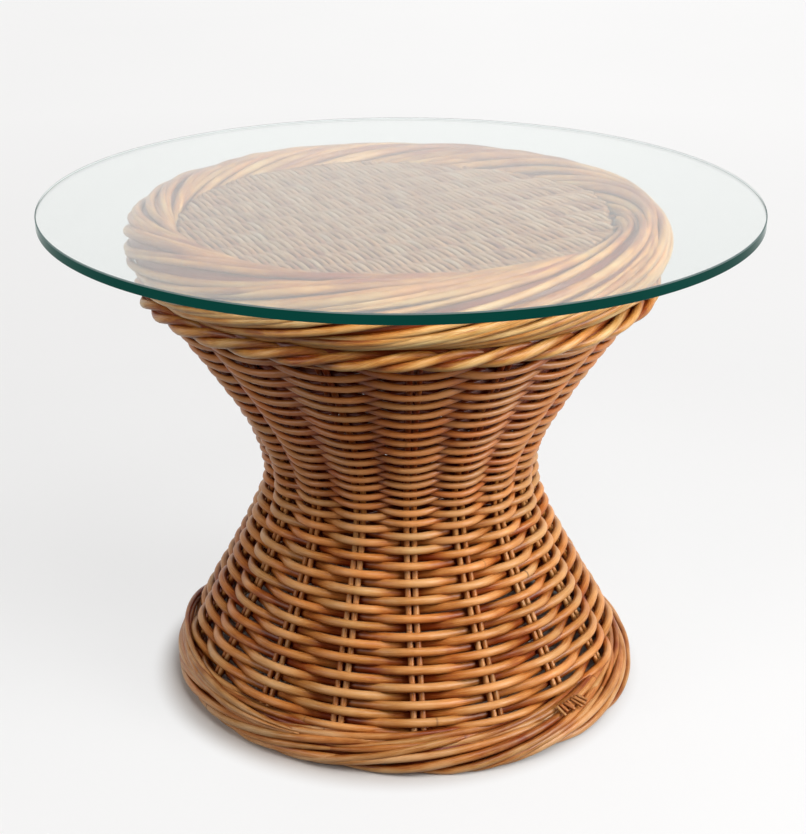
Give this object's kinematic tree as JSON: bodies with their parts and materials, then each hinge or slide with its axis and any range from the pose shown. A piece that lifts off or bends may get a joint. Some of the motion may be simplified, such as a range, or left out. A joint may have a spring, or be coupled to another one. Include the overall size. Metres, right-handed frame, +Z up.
{
  "type": "rattan side table with glass top",
  "caption": "Hourglass side table woven of honey-brown rattan rods on paired stakes, with twisted rolls at foot and rim, a woven panel and a loose round glass top.",
  "frame": {"origin": "on the floor under the middle of the table", "axes": "+Z up; -Y towards the viewer of the picture, +X to the viewer's right"},
  "size_m": [0.66, 0.66, 0.4745],
  "materials": {
    "rattan_rods": "satin lacquer over peeled cane",
    "rattan_stakes": "satin lacquer over peeled cane",
    "rattan_rolls": "satin lacquer over peeled cane",
    "rattan_mat": "satin lacquer over peeled cane",
    "rattan_sticks": "plain peeled cane",
    "clear_glass": "polished, with a green edge"
  },
  "bodies": {
    "base": {"foot_roll": "rattan_rolls", "rim_wale": "rattan_rolls", "rim_roll": "rattan_rolls", "weaver_01": "rattan_rods", "weaver_02": "rattan_rods", "weaver_03": "rattan_rods", "weaver_04": "rattan_rods", "weaver_05": "rattan_rods", "weaver_06": "rattan_rods", "weaver_07": "rattan_rods", "weaver_08": "rattan_rods", "weaver_09": "rattan_rods", "weaver_10": "rattan_rods", "stake_01_left": "rattan_stakes", "stake_01_right": "rattan_stakes", "stake_02_left": "rattan_stakes", "stake_02_right": "rattan_stakes", "stake_03_left": "rattan_stakes", "stake_03_right": "rattan_stakes", "stake_04_left": "rattan_stakes", "stake_04_right": "rattan_stakes", "stake_05_left": "rattan_stakes", "stake_05_right": "rattan_stakes", "stake_06_left": "rattan_stakes", "stake_06_right": "rattan_stakes", "stake_07_left": "rattan_stakes", "stake_07_right": "rattan_stakes", "stake_08_left": "rattan_stakes", "stake_08_right": "rattan_stakes", "stake_09_left": "rattan_stakes", "stake_09_right": "rattan_stakes", "stake_10_left": "rattan_stakes", "stake_10_right": "rattan_stakes", "stake_11_left": "rattan_stakes", "stake_11_right": "rattan_stakes", "stake_12_left": "rattan_stakes", "stake_12_right": "rattan_stakes", "stake_13_left": "rattan_stakes", "stake_13_right": "rattan_stakes", "stake_14_left": "rattan_stakes", "stake_14_right": "rattan_stakes", "stake_15_left": "rattan_stakes", "stake_15_right": "rattan_stakes", "stake_16_left": "rattan_stakes", "stake_16_right": "rattan_stakes", "stake_17_left": "rattan_stakes", "stake_17_right": "rattan_stakes", "top_mat": "rattan_mat", "mat_stick_1": "rattan_sticks", "mat_stick_2": "rattan_sticks", "mat_stick_3": "rattan_sticks", "mat_stick_4": "rattan_sticks", "mat_stick_5": "rattan_sticks", "mat_stick_6": "rattan_sticks", "mat_stick_7": "rattan_sticks"},
    "glass": {"glass_top": "clear_glass"}
  },
  "joints": [
    {"name": "glass_lift", "type": "slide", "parent": "base", "child": "glass", "axis": [0, 0, 1], "range_m": [0, 0.1]}
  ]
}
